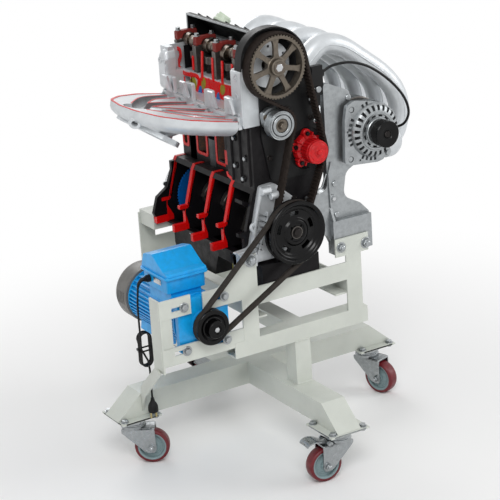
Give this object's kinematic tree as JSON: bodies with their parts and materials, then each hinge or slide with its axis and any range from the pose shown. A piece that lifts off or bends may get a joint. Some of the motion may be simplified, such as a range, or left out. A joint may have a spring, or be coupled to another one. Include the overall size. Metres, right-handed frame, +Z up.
{
  "type": "sectioned engine training model",
  "caption": "Sectioned car engine on a wheeled steel stand, turned by a small electric motor through a V-belt so that the cut-open pistons, rods, cams and belts can be watched.",
  "frame": {"origin": "on the floor, under the middle of the model's overall box", "axes": "+Z up, +Y from the timing belt end to the flywheel end along the crankshaft, +X to the intake side"},
  "size_m": [0.751, 0.724, 0.99],
  "materials": {
    "belt_rubber": "matt moulded rubber",
    "black_paint": "semi-gloss black enamel on cast iron",
    "black_steel": "black enamel on pressed steel",
    "cap_paint": "brick-red paint",
    "cord_black": "black PVC",
    "fan_grey": "grey moulded plastic",
    "filter_olive": "olive paint",
    "hub_plastic": "matt grey nylon",
    "motor_blue": "gloss blue paint",
    "piston_alloy": "machined alloy",
    "pump_red": "gloss red paint",
    "silver_paint": "cast aluminium with silver paint",
    "sprocket": "sintered steel, brown with oil",
    "stand_paint": "satin pale grey-green paint on welded steel",
    "steel": "machined steel with a film of oil",
    "tread": "maroon polyurethane",
    "zinc": "bright zinc-plated sheet"
  },
  "bodies": {
    "stand": {"base_cross": "stand_paint", "front_frame": "stand_paint", "rear_frame": "stand_paint", "motor_bracket": "stand_paint", "motor_body": "motor_blue", "motor_fan_cover": "fan_grey", "terminal_box": "motor_blue", "cylinder_block": "black_paint", "cylinder_head": "silver_paint", "cam_cover": "black_steel", "cam_cap_1": "cap_paint", "cam_cap_2": "cap_paint", "cam_cap_3": "cap_paint", "cam_cap_4": "cap_paint", "oil_pan": "black_steel", "oil_filter": "filter_olive", "front_cover": "silver_paint", "timing_backplate": "black_steel", "water_pump_housing": "pump_red", "side_bracket": "silver_paint", "front_support_block": "black_paint", "alternator_body": "silver_paint", "exhaust_manifold": "silver_paint", "intake_manifold": "silver_paint", "timing_belt": "belt_rubber", "v_belt": "belt_rubber", "cord_gland": "cord_black", "cord_lead": "cord_black", "cord_hank": "cord_black", "cord_plug": "cord_black"},
    "crank": {"crankshaft": "steel", "crank_pulley": "black_steel", "flywheel": "steel"},
    "cam": {"camshaft": "steel", "cam_sprocket": "sprocket"},
    "pump_wheel": {"water_pump_wheel": "pump_red"},
    "tensioner": {"tensioner_pulley": "silver_paint"},
    "motor_shaft": {"motor_pulley": "black_steel"},
    "alternator_rotor": {"alternator_pulley": "black_steel"},
    "rod_1": {"connecting_rod_1": "steel"},
    "piston_1": {"piston_1": "piston_alloy"},
    "rod_2": {"connecting_rod_2": "steel"},
    "piston_2": {"piston_2": "piston_alloy"},
    "rod_3": {"connecting_rod_3": "steel"},
    "piston_3": {"piston_3": "piston_alloy"},
    "rod_4": {"connecting_rod_4": "steel"},
    "piston_4": {"piston_4": "piston_alloy"},
    "fork_left": {"caster_fork_left": "zinc"},
    "wheel_left": {"caster_hub_left": "hub_plastic", "caster_tyre_left": "tread"},
    "fork_front": {"caster_fork_front": "zinc"},
    "wheel_front": {"caster_hub_front": "hub_plastic", "caster_tyre_front": "tread"},
    "fork_right": {"caster_fork_right": "zinc"},
    "wheel_right": {"caster_hub_right": "hub_plastic", "caster_tyre_right": "tread"},
    "fork_rear": {"caster_fork_rear": "zinc"},
    "wheel_rear": {"caster_hub_rear": "hub_plastic", "caster_tyre_rear": "tread"},
    "pedal": {"brake_pedal": "zinc"}
  },
  "joints": [
    {"name": "crank_spin", "type": "hinge", "parent": "stand", "child": "crank", "pos_m": [-0.01, -0.118, 0.542], "axis": [0, 1, 0], "continuous": true},
    {"name": "cam_spin", "type": "hinge", "parent": "stand", "child": "cam", "pos_m": [-0.02, -0.118, 0.906], "axis": [0, 1, 0], "continuous": true},
    {"name": "pump_spin", "type": "hinge", "parent": "stand", "child": "pump_wheel", "pos_m": [0.066, -0.118, 0.703], "axis": [0, 1, 0], "continuous": true},
    {"name": "tensioner_spin", "type": "hinge", "parent": "stand", "child": "tensioner", "pos_m": [-0.018, -0.118, 0.778], "axis": [0, 1, 0], "continuous": true},
    {"name": "motor_spin", "type": "hinge", "parent": "stand", "child": "motor_shaft", "pos_m": [-0.235, -0.118, 0.38], "axis": [0, 1, 0], "continuous": true},
    {"name": "alternator_spin", "type": "hinge", "parent": "stand", "child": "alternator_rotor", "pos_m": [0.222, -0.118, 0.72], "axis": [0, 1, 0], "continuous": true},
    {"name": "rod_1_turn", "type": "hinge", "parent": "crank", "child": "rod_1", "pos_m": [-0.01, -0.091, 0.578], "axis": [0, 1, 0], "continuous": true},
    {"name": "piston_1_slide", "type": "slide", "parent": "stand", "child": "piston_1", "axis": [0, 0, 1], "range_m": [-0.072, 0]},
    {"name": "rod_2_turn", "type": "hinge", "parent": "crank", "child": "rod_2", "pos_m": [-0.01, -0.006, 0.506], "axis": [0, 1, 0], "continuous": true},
    {"name": "piston_2_slide", "type": "slide", "parent": "stand", "child": "piston_2", "axis": [0, 0, 1], "range_m": [0, 0.072]},
    {"name": "rod_3_turn", "type": "hinge", "parent": "crank", "child": "rod_3", "pos_m": [-0.01, 0.079, 0.506], "axis": [0, 1, 0], "continuous": true},
    {"name": "piston_3_slide", "type": "slide", "parent": "stand", "child": "piston_3", "axis": [0, 0, 1], "range_m": [0, 0.072]},
    {"name": "rod_4_turn", "type": "hinge", "parent": "crank", "child": "rod_4", "pos_m": [-0.01, 0.164, 0.578], "axis": [0, 1, 0], "continuous": true},
    {"name": "piston_4_slide", "type": "slide", "parent": "stand", "child": "piston_4", "axis": [0, 0, 1], "range_m": [-0.072, 0]},
    {"name": "caster_left_swivel", "type": "hinge", "parent": "stand", "child": "fork_left", "pos_m": [-0.323, 0.039, 0.04], "axis": [0, 0, 1], "continuous": true},
    {"name": "caster_left_roll", "type": "hinge", "parent": "fork_left", "child": "wheel_left", "pos_m": [-0.28984, 0.01663, 0.04], "axis": [0.5592, 0.829, 0], "continuous": true},
    {"name": "caster_front_swivel", "type": "hinge", "parent": "stand", "child": "fork_front", "pos_m": [0, -0.312, 0.04], "axis": [0, 0, 1], "continuous": true},
    {"name": "caster_front_roll", "type": "hinge", "parent": "fork_front", "child": "wheel_front", "pos_m": [-0.0399, -0.30921, 0.04], "axis": [-0.0698, -0.9976, 0], "continuous": true},
    {"name": "caster_right_swivel", "type": "hinge", "parent": "stand", "child": "fork_right", "pos_m": [0.323, 0.039, 0.04], "axis": [0, 0, 1], "continuous": true},
    {"name": "caster_right_roll", "type": "hinge", "parent": "fork_right", "child": "wheel_right", "pos_m": [0.33536, 0.00096, 0.04], "axis": [0.9511, 0.309, 0], "continuous": true},
    {"name": "caster_rear_swivel", "type": "hinge", "parent": "stand", "child": "fork_rear", "pos_m": [0, 0.312, 0.04], "axis": [0, 0, 1], "continuous": true},
    {"name": "caster_rear_roll", "type": "hinge", "parent": "fork_rear", "child": "wheel_rear", "pos_m": [0.03759, 0.32568, 0.04], "axis": [-0.342, 0.9397, 0], "continuous": true},
    {"name": "brake_pedal_hinge", "type": "hinge", "parent": "fork_front", "child": "pedal", "pos_m": [-0.03392, -0.30963, 0.09125], "axis": [-0.0698, -0.9976, 0], "range_deg": [0, 25]}
  ],
  "couplings": [
    {"joint": "cam_spin", "follows": "crank_spin", "ratio": 0.5},
    {"joint": "pump_spin", "follows": "crank_spin", "ratio": 1.3019},
    {"joint": "tensioner_spin", "follows": "crank_spin", "ratio": -1.0952},
    {"joint": "motor_spin", "follows": "crank_spin", "ratio": 1.7848},
    {"joint": "rod_1_turn", "follows": "crank_spin", "ratio": -1},
    {"joint": "rod_2_turn", "follows": "crank_spin", "ratio": -1},
    {"joint": "rod_3_turn", "follows": "crank_spin", "ratio": -1},
    {"joint": "rod_4_turn", "follows": "crank_spin", "ratio": -1}
  ]
}
